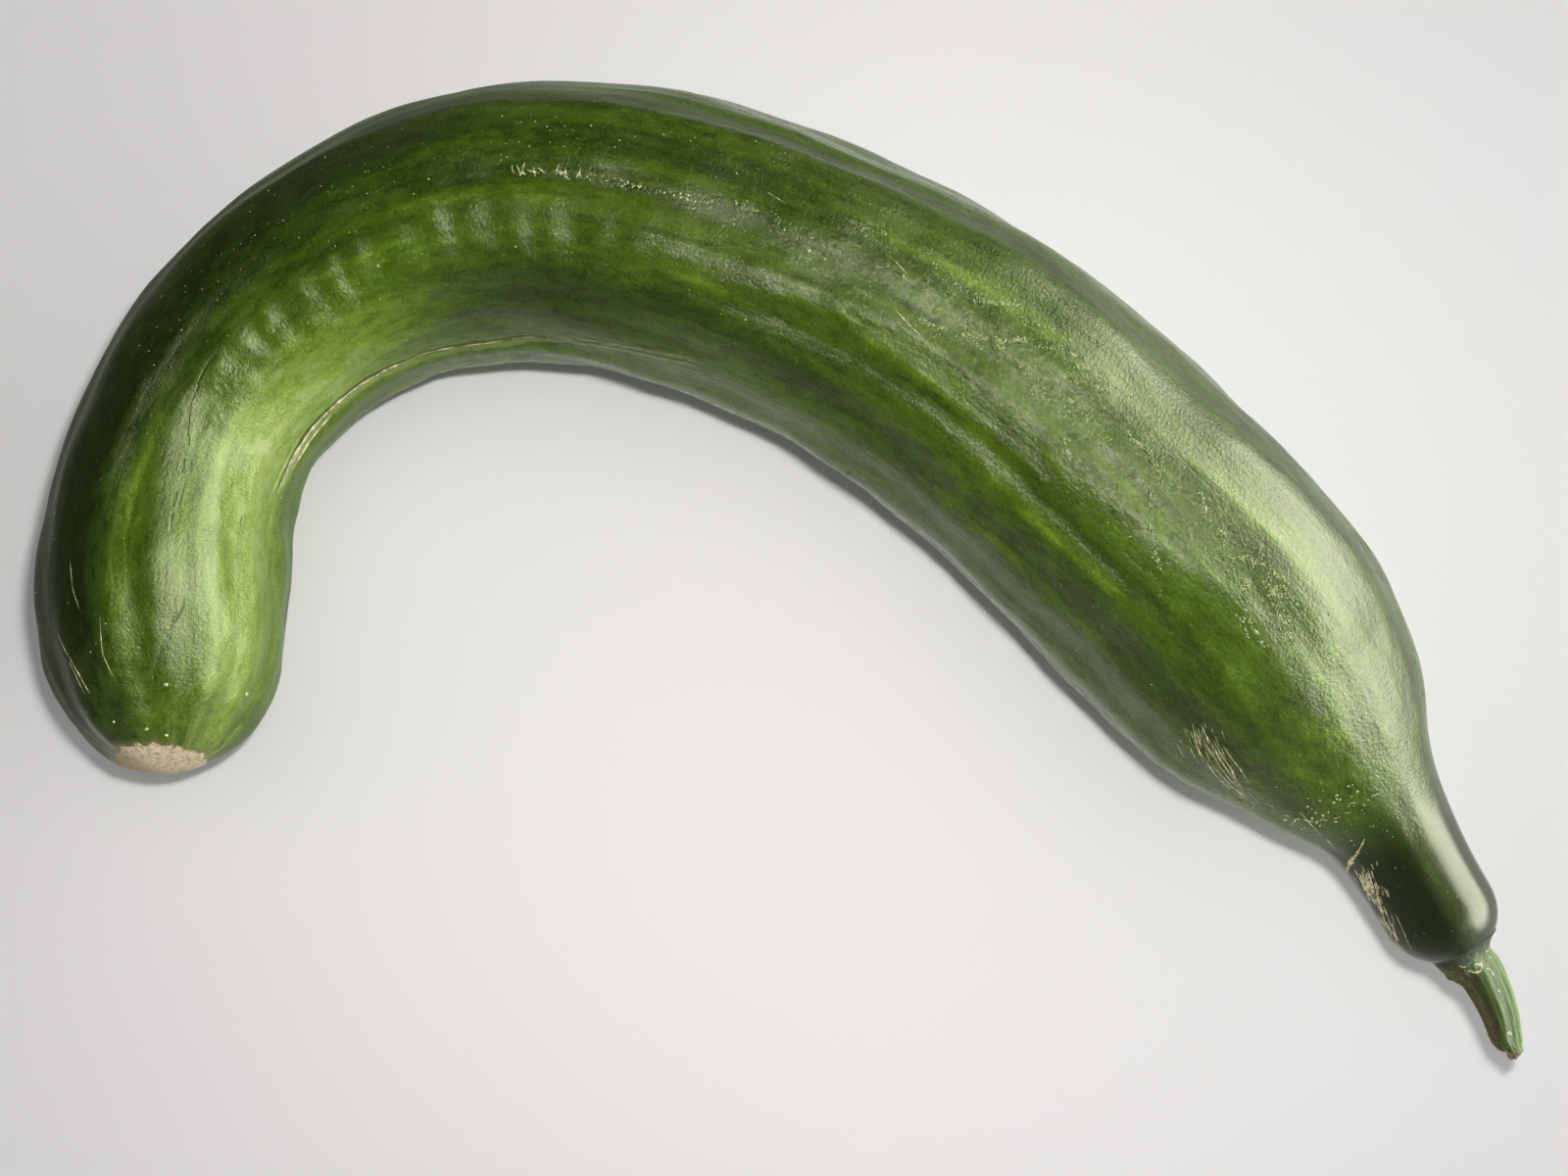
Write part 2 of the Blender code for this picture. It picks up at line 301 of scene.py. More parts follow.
# Where the skin is paler or darker than its middle green. Broad fields: distance, angle, half length, half
# width in degrees, strength. Then streaks that follow the ribs: strength, width in millimetres, path.
FIELDS = (
    (34, -62, 44, 34, 0.33),
    (78, -62, 30, 24, 0.30),
    (102, -50, 26, 20, 0.13),
    (128, -60, 22, 16, -0.10),
    # A paler patch on top of the leg: painted sheen of the broad haze that lies there.
    (30, -8, 34, 12, 0.06),
    (75, 28, 60, 26, -0.30),
    (24, 50, 46, 34, -0.34),
    (40, 16, 34, 12, -0.08),
    (150, 17, 48, 17, -0.06),
    (158, -47, 40, 13, -0.18),
    (240, -62, 78, 16, -0.12),
    (215, 34, 55, 26, -0.03),
    (280, 24, 40, 22, -0.06),
    (300, -45, 25, 16, -0.06),
)
STREAKS = (
    (0.12, 1.4, ((100, -3), (120, -6), (135, -9), (150, -12), (175, -14), (190, -16))),
    (0.08, 1.4, ((78, -14), (95, -13), (112, -16), (128, -19))),
    (0.12, 1.6, ((198, 11), (215, 14), (235, 16))),
    (0.20, 1.7, ((228, 15), (245, 17), (262, 17), (294, 15))),
    (0.18, 2.4, ((212, 38), (240, 40), (272, 40))),
    (0.20, 1.7, ((232, -8), (255, -8), (282, -9))),
    (0.20, 1.6, ((206, -20), (235, -19), (264, -20))),
    (0.26, 1.9, ((165, -25), (178, -30), (190, -36), (206, -41), (226, -43))),
    (0.36, 2.0, ((238, -38), (254, -38), (274, -37))),
    (0.24, 2.0, ((172, -49), (180, -53), (190, -60))),
    (0.30, 2.0, ((234, -57), (255, -58), (284, -58))),
    (0.18, 2.2, ((136, -51), (160, -48), (180, -46))),
    (0.16, 2.4, ((296, -8), (312, -10), (326, -8))),
    (0.18, 2.0, ((296, -30), (310, -31), (322, -30))),
    (0.34, 1.5, ((322, -2), (336, -2), (352, -3))),
    (0.14, 2.6, ((8, -2), (25, -4), (45, -3), (62, -2))),
    (0.14, 2.0, ((12, -68), (40, -70), (66, -67))),
    (-0.20, 2.0, ((56, 6), (100, 4), (135, 0), (180, -2), (225, -3))),
    (-0.20, 2.2, ((178, -33), (215, -31), (260, -31), (292, -33))),
    (-0.24, 3.0, ((186, -51), (225, -48), (270, -49), (302, -46))),
    (-0.14, 1.8, ((64, -9), (95, -7), (122, -12))),
    (-0.16, 1.5, ((8, -15), (30, -14), (50, -12), (66, -15))),
    (-0.12, 1.3, ((10, -24), (30, -25), (52, -22))),
    (-0.12, 1.4, ((12, -36), (36, -38), (60, -34))),
    (-0.20, 2.2, ((122, -33), (150, -37), (180, -39))),
    (-0.14, 2.0, ((200, 6), (240, 7), (278, 5))),
    (-0.12, 1.8, ((205, -15), (235, -14), (268, -15))),
    (-0.14, 2.2, ((215, 29), (245, 28), (280, 28))),
)
# The sides that the photo doesn't show get streaks like them, each a bent line of three points.
FAR_STREAKS = 34
draw = np.random.default_rng(7)
starts = draw.uniform(15, 235, FAR_STREAKS)
turns = draw.uniform(62, 282, FAR_STREAKS)
runs = draw.uniform(45, 105, FAR_STREAKS)
bows = draw.uniform(-5, 5, FAR_STREAKS)
far_side = [
    (
        draw.choice((-0.22, -0.14, 0.16, 0.26)),
        draw.uniform(1.8, 3.6),
        ((start, turn), (start + run / 2, turn + bow), (start + run, turn)),
    )
    for start, turn, run, bow in zip(starts, turns, runs, bows)
]
# Where the skin is finely wrinkled, and where it is corky with small crinkles, listed like the fields.
WRINKLED = (
    (235, -8, 50, 13, 0.8),
    (90, -24, 24, 16, 1.0),
    (72, -27, 9, 11, 1.4),
    (150, -22, 38, 13, 0.6),
    (20, -24, 12, 14, 0.4),
)
CORKY = (
    (236, 3, 26, 9, 1.0),
    (266, -2, 14, 11, 1.0),
    (283, 0, 9, 8, 1.0),
    (205, 10, 12, 8, 1.0),
    (160, -1, 26, 2.5, 1.0),
)
# The crack along the seam, then a nick near the tip and a broken furrow along the leg. Beyond this distance
# a place counts as clear of them.
SEAM_PATH = (
    (58, -80),
    (69, -81),
    (83, -80),
    (95, -81),
    (116, -81),
    (133, -81),
    (144, -78),
    (155, -72),
    (176, -65),
)
FURROWS = (((14, -14), (20, -20), (27, -29)), ((44, -23), (52, -23.5), (59, -22), (66, -15), (74, -11)))
CLEAR = 9.0


def soft_fields(rows, steepness=2):
    """The strengths of these fields added up at each vertex of the fruit, fading out from their middles."""
    total = np.zeros(len(along))
    for at, turn, long, wide, strength in rows:
        beside = (np.degrees(angle) - turn + 180) % 360 - 180
        total += strength * np.exp(-(((along - at) / long) ** steepness) - ((beside / wide) ** 2))
    return total


streak = np.zeros(len(along))
for strength, width, path in (*STREAKS, *far_side):
    streak += strength * stroke(along, angle, radius, path, width)[0]
seam_strength, seam_offset = stroke(along, angle, radius, SEAM_PATH, CLEAR)
furrow_strength, furrow_offset = np.zeros(len(along)), np.full(len(along), CLEAR)
for path in FURROWS:
    strength, away = stroke(along, angle, radius, path, 4.0)
    nearer = np.abs(away) < np.abs(furrow_offset)
    furrow_strength = np.where(nearer, strength, furrow_strength)
    furrow_offset = np.where(nearer, away, furrow_offset)
for name, values in {
    "field": soft_fields(FIELDS),
    "streak": streak,
    "wrinkled": np.clip(soft_fields(WRINKLED, 4), 0, 2),
    "corky": np.clip(soft_fields(CORKY), 0, 1),
    "seam_strength": seam_strength,
    "seam_offset": np.clip(seam_offset, -CLEAR, CLEAR),
    "furrow_strength": furrow_strength,
    "furrow_offset": np.clip(furrow_offset, -CLEAR, CLEAR),
}.items():
    keep(fruit.data, name, values)


class Flow:
    """A number or colour flowing through a material. Arithmetic on it adds the Math nodes it takes."""

    def __init__(self, tree, socket=None):
        self.tree, self.socket = tree, socket

    def join(self, node, inputs):
        """Links each flow to its socket of the node, and sets the other sockets to plain values."""
        for name, value in inputs.items():
            if isinstance(value, Flow):
                self.tree.links.new(value.socket, node.inputs[name])
            else:
                node.inputs[name].default_value = value

    def node(self, kind, inputs, output=0, stops=(), **settings):
        """Adds a node of this kind. A ramp's stops are listed from the lowest to the highest."""
        made = self.tree.nodes.new("ShaderNode" + kind)
        for name, value in settings.items():
            setattr(made, name, value)
        for at, _ in stops[1:-1]:
            made.color_ramp.elements.new(at)
        for i, (at, colour) in enumerate(stops):
            stop = made.color_ramp.elements[i]
            stop.position, stop.color = at, (*colour, 1)
        self.join(made, inputs)
        return Flow(self.tree, made.outputs[output])

    def stored(self, name, output="Fac"):
        """What the mesh keeps under this name."""
        return self.node("Attribute", {}, output, attribute_name=name)

    def place(self):
        """Where each point is in the object's own metres."""
        return self.node("TexCoord", {}, "Object")

    def part(self, index):
        """One of the three numbers of this vector."""
        return self.node("SeparateXYZ", {0: self}, index)

    def ramp(self, *stops):
        """The colour that this number gives between these stops: where each is, and its colour."""
        return self.node("ValToRGB", {0: self}, stops=stops)

    def maths(self, operation, *values):
        return self.node("Math", dict(enumerate(values)), operation=operation)

    def __add__(self, other):
        return self.maths("ADD", self, other)

    def __sub__(self, other):
        return self.maths("SUBTRACT", self, other)

    def __rsub__(self, other):
        return self.maths("SUBTRACT", other, self)

    def __mul__(self, other):
        return self.maths("MULTIPLY", self, other)

    def __abs__(self):
        return self.maths("ABSOLUTE", self)

    __radd__, __rmul__ = __add__, __mul__

    def rise(self, low, high):
        """0 below low, 1 above high, and smooth between. With low above high it falls instead."""
        inputs = {"Value": self, "From Min": low, "From Max": high}
        return self.node("MapRange", inputs, interpolation_type="SMOOTHSTEP")

    def scaled(self, *factors):
        """This vector with each of its numbers multiplied."""
        return self.node("VectorMath", {0: self, 1: factors}, operation="MULTIPLY")

    def grain(self, scale, detail=2.0, roughness=0.5):
        """Noise from 0 to 1 over this vector."""
        inputs = {"Vector": self, "Scale": scale, "Detail": detail, "Roughness": roughness}
        return self.node("TexNoise", inputs)

    def cells(self, scale):
        """Distance from the middle of each cell of a random pattern over this vector."""
        return self.node("TexVoronoi", {"Vector": self, "Scale": scale}, feature="F1")

    def between(self, first, second):
        """The first colour where this is 0, the second where it is 1."""
        return self.node("Mix", {0: self, 6: first, 7: second}, output=2, data_type="RGBA")


def new_material(name):
    """A material with its Principled shader, and a starting flow for its other nodes."""
    material = bpy.data.materials.new(name)
    material.use_nodes = True
    return material, material.node_tree.nodes["Principled BSDF"], Flow(material.node_tree)


def bumped(flow, height):
    """Tilts the shading as a relief of this height in millimetres would."""
    return flow.node("Bump", {"Strength": 1.0, "Distance": MM, "Height": height})


# Skin colour: cells filled with green, yellower where the fruit lay shaded, nearly black at the neck, and
# freckled with paler breathing pores. Position is the distance along the fruit, upper and outer are the
# distances over its centre line and towards the outside of the hook.
skin, surface, flow = new_material("waxy_skin")
straight = flow.stored("straight", "Vector")
position, upper, outer = straight.part(0), straight.part(1), straight.part(2)
field_map, streak_map = flow.stored("field"), flow.stored("streak")
wrinkled_map, corky_map = flow.stored("wrinkled"), flow.stored("corky")

long_mottle = straight.scaled(0.09, 1, 1).grain(0.26, 3)
mottle = straight.scaled(0.35, 1, 1).grain(0.6, 4, 0.6)
wrinkle = straight.scaled(0.7, 1, 1).grain(0.8, 4, 0.6)
freckle = straight.grain(1.9, 3, 0.65)
patches = straight.scaled(0.5, 1, 1).grain(0.13, 2).rise(0.40, 0.62)
shade = 0.365 + field_map + streak_map * (patches * 0.65 + 0.1) * (long_mottle * 2.8 - 0.6)
shade = shade + (long_mottle - 0.5) * 0.45 + (mottle - 0.5) * 0.48 + (freckle - 0.5) * 0.52
green = shade.ramp(
    (0.0, (0.008, 0.018, 0.001)),
    (0.22, (0.024, 0.048, 0.002)),
    (0.45, (0.058, 0.115, 0.003)),
    (0.70, (0.165, 0.265, 0.020)),
    (1.0, (0.38, 0.48, 0.13)),
)

# The dark neck, the pores, the corky crinkles, the brown russet of the outer flank and the pale wax bloom.
# The
# bloom is partly painted sheen: its greyish haze on the pale leg stands for the window's soft reflection.
near_neck = (position + (mottle - 0.5) * 14).rise(319, 337)
green = (near_neck * (0.93 - streak_map * 1.3)).between(green, (0.006, 0.011, 0.003, 1))
pores = straight.cells(0.62).rise(0.20, 0.10) * freckle.rise(0.52, 0.68)
green = (pores * 0.4).between(green, (0.26, 0.34, 0.12, 1))
crinkle = 1 - abs(straight.scaled(0.9, 1, 1).grain(0.85, 3, 0.6) - 0.5).rise(0.0, 0.05)
crinkle = crinkle * corky_map.rise(0.25, 0.8) * straight.grain(0.30, 2).rise(0.48, 0.60)
green = (crinkle * 0.25).between(green, (0.20, 0.27, 0.07, 1))
russet = outer.rise(7, 16) * position.rise(165, 120)
green = (russet * mottle.rise(0.35, 0.65) * 0.45).between(green, (0.050, 0.042, 0.016, 1))
# Wax bloom and painted sheen: a greyish haze over the pale fields of the leg.
bloom_and_sheen = field_map.rise(0.15, 0.5) * straight.scaled(0.6, 1, 1).grain(0.22, 4, 0.6).rise(0.46, 0.60)
green = (bloom_and_sheen * 0.40).between(green, (0.40, 0.48, 0.25, 1))

# The straw-coloured seam with the dark crack along it, then the nick and the furrow of the leg: along these
# a dark line, the split with painted shade in its crease, and on one lip a pale line of painted highlight.
seam_map = flow.stored("seam_strength")
beside = flow.stored("seam_offset") + (straight.grain(0.5, 3) - 0.5) * 1.0
crack = abs(beside - 0.3).rise(0.55, 0.15) * seam_map.rise(0.3, 0.7)
fold = abs(abs(beside) - 0.8).rise(0.8, 0.2) * seam_map.rise(0.2, 0.6)
green = (fold * 0.32).between(green, (0.30, 0.37, 0.13, 1))
green = (crack * 0.6).between(green, (0.060, 0.060, 0.018, 1))
furrow_map = flow.stored("furrow_strength").rise(0.15, 0.5)
aside = flow.stored("furrow_offset") + (straight.grain(0.6, 3) - 0.5) * 0.9
# The split of the nick and the furrow, darkened partly with painted shade in the crease.
furrow_split_and_shade = abs(aside).rise(0.30, 0.08) * furrow_map * straight.grain(0.35, 2).rise(0.42, 0.52)
# A painted highlight along one lip of the crease.
furrow_lip_highlight = abs(aside - 0.6).rise(0.4, 0.1) * furrow_map
green = (furrow_split_and_shade * 0.45).between(green, (0.022, 0.050, 0.004, 1))
green = (furrow_lip_highlight * 0.12).between(green, (0.24, 0.34, 0.09, 1))

# The corky disc where the flower dropped off, a little off the middle, and the pale rays round it.
off_middle, off_side = upper - 1.1, outer - 1.2
away = flow.maths("SQRT", off_middle * off_middle + off_side * off_side)
rays = flow.node("VectorMath", {0: straight.scaled(0, 1, 1)}, operation="NORMALIZE").grain(5.5, 2, 0.6)
star = away.rise(17, 9) * rays.rise(0.5, 0.66) * position.rise(20, 8)
green = (star * 0.5).between(green, (0.30, 0.36, 0.10, 1))
rim = away + (straight.grain(0.7, 3) - 0.5) * 1.6 + (rays - 0.5) * 2.5
scar = rim.rise(8.5, 8.0) * position.rise(14, 12)
cork_grain = straight.grain(1.25, 4, 0.7)
cork = cork_grain.ramp((0.32, (0.32, 0.21, 0.10)), (0.45, (0.74, 0.59, 0.37)), (0.62, (0.95, 0.83, 0.61)))
tanned = (outer + (cork_grain - 0.5) * 5).rise(1.0, 6.0) * 0.45
cork = tanned.between(cork, (0.30, 0.19, 0.085, 1))
green = (rim.rise(9.8, 8.4) * position.rise(16, 13) * 0.6).between(green, (0.17, 0.13, 0.05, 1))
green = scar.between(green, cork)
stem_ring = (position + (freckle - 0.5) * 1.4).rise(fruit_line.length - 2.6, fruit_line.length - 1.2)
green = (stem_ring * 0.75).between(green, (0.17, 0.15, 0.07, 1))

# The gloss, dull on cork and russet, and the relief in millimetres that is too fine for the mesh.
roughness = 0.28 + (mottle - 0.5) * 0.16 + crinkle * 0.1 + near_neck * 0.03
roughness = roughness + position.rise(110, 60) * mottle.rise(0.40, 0.65) * 0.06 + russet * 0.30
roughness = roughness + outer.rise(-4, -10) * position.rise(110, 60) * 0.08
roughness = roughness * (1 - scar) + scar * 0.85
crumpled = wrinkled_map * (straight.scaled(0.4, 1, 1).grain(0.19, 2).rise(0.42, 0.60) * 0.8 + 0.2)
crumpled = crumpled + wrinkled_map.rise(1.0, 1.8) * 0.4
ripples = (wrinkle - 0.5) * (crumpled * 0.26 + 0.05) + (mottle - 0.5) * (crumpled * 0.14 + 0.06)
height = (freckle - 0.5) * 0.13 + ripples + (long_mottle - 0.5) * 0.32
height = (height + crinkle * 0.12) * (1 - near_neck * 0.8) - crack * 0.2 + fold * 0.15 - furrow_split_and_shade * 0.14
cork_height = (cork_grain - 0.5) * 1.5 + 0.15
height = height * (1 - scar) + scar * cork_height + (straight.grain(5.5, 2) - 0.5) * 0.014
finish = {
    "Base Color": green,
    "Roughness": roughness,
    "Normal": bumped(flow, height),
    "IOR": 1.40,
    "Specular Tint": (1.0, 1.0, 0.76, 1),
    "Sheen Weight": 0.05,
    "Sheen Roughness": 0.35,
    "Sheen Tint": (0.70, 0.95, 0.60, 1),
}
flow.join(surface, finish)
fruit.data.materials.append(skin)
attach(fruit, "root")
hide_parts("fruit")

# Warts and crinkles: tiny corky bumps, each a few cells of dried skin that pushed through the wax. They lie
# in crooked rows on the upper side of the belly. Each row: its path, how many bumps, and how far they stray
# from it in millimetres.
CRINKLES = (
    (((219, 9), (225, 17)), 84, 0.22),
    (((216, 9), (221, 12)), 25, 0.20),
    (((226, 12), (232, 18)), 56, 0.18),
    (((213, -8), (216, -7), (225, 0), (229, 8)), 154, 0.24),
    (((230, 7), (235, 14), (238, 16)), 64, 0.20),
    (((215, -3), (221, -1), (226, 2)), 70, 0.26),
    (((218, -5), (224, -3)), 30, 0.40),
    (((225, 1), (230, -1), (236, -1)), 84, 0.36),
    (((230, -1), (235, 4), (239, 8), (244, 13)), 112, 0.26),
    (((236, 11), (241, 14), (247, 17)), 64, 0.30),
    (((239, 1), (247, 2)), 84, 0.50),
    (((234, -4), (242, -3), (250, 0)), 70, 0.60),
    (((243, -9), (247, -14)), 36, 0.20),
    (((249, 5), (256, 6), (262, -8)), 125, 0.28),
    (((257, 7), (261, 0)), 56, 0.40),
    (((263, -11), (266, -16), (270, -22)), 78, 0.24),
    (((265, 8), (268, 4)), 28, 0.22),
    (((267, 5), (272, 2), (274, -3)), 50, 0.22),
    (((274, -3), (277, 4), (282, 8)), 92, 0.26),
    (((277, 3), (279, -5), (282, -12)), 92, 0.34),
    (((279, 3), (284, 0), (287, -5)), 125, 0.70),
    (((281, 6), (286, 1), (291, -5)), 84, 0.60),
    (((282, -10), (287, -12)), 36, 0.18),
    (((281, -12), (285, -14)), 22, 0.15),
    (((196, 11), (202, 15)), 19, 0.50),
    (((183, 6), (186, -2)), 25, 0.30),
    (((177, 3), (181, 2)), 14, 0.40),
    (((210, 14), (214, 9), (217, 4)), 25, 0.60),
    (((288, 12), (293, 7), (298, 3)), 25, 0.80),
)
LONE_WARTS = ((191.5, -4, 0.55), (194.5, -4.5, 0.38), (188, -1.5, 0.25), (189.3, -1, 0.25))
BELLY_RADIUS = 27
SMALLEST_WART, WART_RANGE = 0.12, 0.20
crinkle_draw = np.random.default_rng(21)
dots = []
for path, count, stray in CRINKLES:
    at, turn = np.array(path, float).T
    t = crinkle_draw.uniform(0, len(at) - 1, count)
    along_row, turn_row = np.interp(t, range(len(at)), at), np.interp(t, range(len(at)), turn)
    dots += zip(
        along_row + crinkle_draw.normal(0, stray, count),
        turn_row + np.degrees(crinkle_draw.normal(0, stray, count) / BELLY_RADIUS),
        SMALLEST_WART + WART_RANGE * crinkle_draw.beta(1.2, 2.4, count),
    )
dots = np.array([*dots, *LONE_WARTS])
bump_place, bump_out = on_fruit(dots[:, 0], dots[:, 1], lift=-0.02)


def beads(name, places, directions, sizes, flatness):
    """One mesh of small round bumps, each pressed flat against the skin."""
    shape = bmesh.new()
    for place, out, size in zip(places, directions, sizes):
        turned = Vector(out).to_track_quat("Z", "Y").to_matrix().to_4x4()
        matrix = Matrix.Translation(place) @ turned @ Matrix.Diagonal((1, 1, flatness, 1))
        bmesh.ops.create_icosphere(shape, subdivisions=1, radius=size * MM, matrix=matrix)
    return piece_from(shape, name)


bumps = beads("skin_bumps", bump_place, bump_out, dots[:, 2], flatness=0.8)
corky_green, surface, flow = new_material("corky_bumps")
patchy = flow.place().grain(700, 3)
colour = patchy.rise(0.38, 0.64).between((0.050, 0.095, 0.005, 1), (0.26, 0.32, 0.10, 1))
flow.join(surface, {"Base Color": colour, "Roughness": 0.20 + patchy * 0.15})
bumps.data.materials.append(corky_green)
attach(bumps, "root")

# Specks: dried drops of sap and single burst pores, cream-coloured. They are strewn over the fruit, mostly
# on the arch, where short ticks also cross one rib, and round the blossom end. The large ones are listed by
# distance, angle and radius. A patch has its middle, its spread both ways and the number it holds.
LARGE_SPECKS = (
    (11.7, -20, 0.42),
    (10.7, -72, 0.55),
    (5.0, -3, 0.40),
    (3.9, -18, 0.34),
    (6.7, 17, 0.30),
    (113, -24, 0.34),
)
SPECK_PATCHES = (
    (150, 14, 30, 9, 90),
    (100, 18, 22, 12, 50),
    (90, -15, 25, 25, 35),
    (220, 20, 40, 12, 60),
    (250, -30, 50, 22, 50),
    (30, 5, 20, 25, 24),
    (325, -30, 3, 26, 26),
)
TICKS = 15
speck_draw = np.random.default_rng(5)
around, within = speck_draw.normal, speck_draw.uniform
specks = list(LARGE_SPECKS)


def strewn(distance, distance_pair, turn, turn_pair, sizes, count):
    """Specks drawn around a middle with a spread, or within two limits, in distance and angle."""
    return zip(distance(*distance_pair, count), turn(*turn_pair, count), within(*sizes, count))


for middle, turn, spread, turn_spread, count in SPECK_PATCHES:
    specks += strewn(around, (middle, spread), around, (turn, turn_spread), (0.05, 0.15), count)
for tick in within(138, 152, TICKS):
    lean = around(-0.2, 0.35)
    bow = around(0, 0.2)
    middle = around(-0.4, 0.9)
    reach = within(0.4, 2.0)
    t = np.linspace(-1, 1, 6)
    specks += zip(tick + lean * t + bow * t * t, middle + reach * t, 0.16 - 0.06 * t * t)
specks += strewn(around, (320, 1.6), within, (-72, -18), (0.10, 0.26), 40)
specks += strewn(within, (150, 174), around, (-1, 0.9), (0.10, 0.20), 36)
specks += strewn(within, (15, 320), within, (60, 280), (0.07, 0.15), 170)
spots = np.array([speck for speck in specks if 3 < speck[0] < 350])
speck_place, speck_out = on_fruit(spots[:, 0], spots[:, 1])
speck_piece = beads("skin_specks", speck_place, speck_out, spots[:, 2], flatness=0.5)
dried, surface, flow = new_material("dried_sap")
patchy = flow.place().grain(1500, 2)
colour = patchy.rise(0.35, 0.65).between((0.36, 0.37, 0.16, 1), (0.70, 0.66, 0.42, 1))
flow.join(surface, {"Base Color": colour, "Roughness": 0.5 + patchy * 0.2})
speck_piece.data.materials.append(dried)
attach(speck_piece, "root")

# Scuffs: long shallow scratches and rubbed patches where the wax broke and healed as straw-coloured cork,
# and the healed lip of the seam inside the bend. Each is a ragged ribbon on the skin: width, then path.
SCUFFS = (
    (0.60, ((60, -79), (66, -80), (72, -81), (77, -80.5), (82, -80))),
    (0.45, ((62, -83), (69, -84), (76, -83.5), (83, -82.5))),
    (0.60, ((80, -80), (86, -80), (91, -80.5))),
    (0.55, ((90, -80.3), (95, -81), (99, -81.5))),
    (0.60, ((98.5, -81), (102, -80.7), (106, -81))),
    (0.30, ((106, -80.8), (111, -80), (115, -80.8))),
    (0.40, ((114.5, -80.6), (117, -81), (119, -81))),
    (0.24, ((121, -81.5), (127, -81.3), (132, -80.8))),
    (0.24, ((134, -80.6), (139, -79.5), (143, -78))),
    (0.20, ((145, -77), (149, -75), (153, -73))),
    (0.18, ((157, -71), (163, -68.5))),
    (0.30, ((293, -48), (299, -52), (305, -58), (310, -65))),
    (0.26, ((295, -51), (302, -57), (308, -64), (313, -71))),
    (0.30, ((297, -49), (304, -55), (311, -66))),
    (0.28, ((299, -48), (305, -52), (310, -58))),
    (0.26, ((296, -56), (301, -61), (306, -68))),
    (0.28, ((300, -60), (305, -66), (312, -74))),
    (0.24, ((293, -53), (297, -57), (301, -63))),
    (0.30, ((304, -61), (309, -68), (312, -72))),
    (0.24, ((292, -50), (295, -54), (297, -58))),
    (0.30, ((316.5, -69), (317, -67))),
    (0.40, ((318, -66), (318.6, -63.5))),
    (0.34, ((319.2, -62), (319.8, -59))),
    (0.42, ((320, -58), (321, -54))),
    (0.30, ((318.5, -54), (322, -59), (324, -63))),
    (0.34, ((325, -64), (328, -70))),
    (0.20, ((321, -50), (321.8, -46))),
    (0.20, ((322, -42), (322.2, -37))),
    (0.26, ((322, -34), (322.4, -30))),
    (0.22, ((321, -27), (321.6, -22))),
    (0.20, ((322, -14), (322.5, -8))),
    (0.34, ((328.5, -38), (329.4, -43), (330.4, -50))),
    (0.60, ((330, -47), (331.2, -56), (332.6, -68))),
    (1.00, ((331.5, -62), (333, -74), (335, -92))),
    (0.36, ((338, -60), (340, -68), (343, -76), (346, -84))),
    (0.40, ((336, -64), (338, -74), (341, -86))),
    (0.24, ((344, -60), (348, -64), (351, -70))),
    (0.30, ((12, 22), (16, 24), (20, 26))),
    (0.22, ((19, 25), (25, 31))),
    (0.20, ((12, 25), (16, 26), (19, 27))),
    (0.18, ((28, 17), (31, 20), (35, 22))),
    (0.26, ((10, 55), (15, 58), (21, 61))),
    (0.22, ((12, 59), (17, 62), (22, 63))),
    (0.26, ((31.5, 48), (32, 56), (33, 66))),
    (0.18, ((14, 6), (19, 8), (27, 7))),
    (0.12, ((204, 7), (208, 4))),
    (0.16, ((209, -9), (212, -11), (216, -13))),
    (0.10, ((181, 11), (185, 9))),
)
# Many short scratches together make the rubbed patches of the neck and the shoulder.
NECK_SCRATCHES, SHOULDER_SCRATCHES, NECK_RUBS = 95, 80, 50
scuff_draw = np.random.default_rng(3)
scuffs = list(SCUFFS)


def add_scratch(start, turn, run, width, slant):
    """A short straight scuff of this run, which turns inwards by this many degrees a millimetre."""
    scuffs.append((width, ((start, turn), (start + run, turn - slant * run))))


for _ in range(NECK_SCRATCHES):
    start = scuff_draw.uniform(334, 351)
    turn = -58 - (start - 334) * 1.9 + scuff_draw.normal(0, 6 + 3 * (start < 342))
    add_scratch(
        start, turn, scuff_draw.uniform(0.5, 2.4), scuff_draw.uniform(0.14, 0.34), scuff_draw.uniform(1, 3)
    )
for _ in range(SHOULDER_SCRATCHES):
    start = scuff_draw.uniform(292, 315)
    turn = -49 - (start - 293) * 1.15 + scuff_draw.normal(0, 4)
    add_scratch(start, turn, scuff_draw.uniform(0.6, 3.4), scuff_draw.uniform(0.10, 0.22), 1.2)
for _ in range(NECK_RUBS):
    start = scuff_draw.normal(337, 1.6)
    turn = -66 - (start - 334) * 1.6 + scuff_draw.normal(0, 5)
    add_scratch(start, turn, scuff_draw.uniform(0.6, 1.8), scuff_draw.uniform(0.25, 0.5), 2.5)


def ribbon(shape, on_skin, girth_at, path, width, lift):
    """Lays a thin strip on a skin along a path of distances and degrees, pinched at its ends and ragged."""
    at, turn = np.array(path, float).T
    steps = max(5, len(path) * 6)
    made = bmesh.ops.create_grid(shape, x_segments=steps, y_segments=1, size=1)["verts"]
    flat = np.array([v.co for v in made])
    t, side = flat[:, 0] / 2 + 0.5, flat[:, 1]
    knots = np.linspace(0, 1, len(at))
    along, degrees = np.interp(t, knots, at), np.interp(t, knots, turn)
    around = np.maximum(girth_at(along), 2) * math.pi / 180
    forward = np.interp(t, knots, np.gradient(at))
    sideways = np.interp(t, knots, np.gradient(turn)) * around
    step = np.hypot(forward, sideways)
    ragged = 0.7 + 0.45 * np.sin(t * 23 + at[0] * 7) * np.sin(t * 11 + turn[0])
    half = side * width / 2 * ragged * np.sqrt(np.maximum(np.sin(np.pi * t), 0.02))
    place, _ = on_skin(along - half * sideways / step, degrees + half * forward / step / around, lift)
    for vertex, co in zip(made, place):
        vertex.co = co


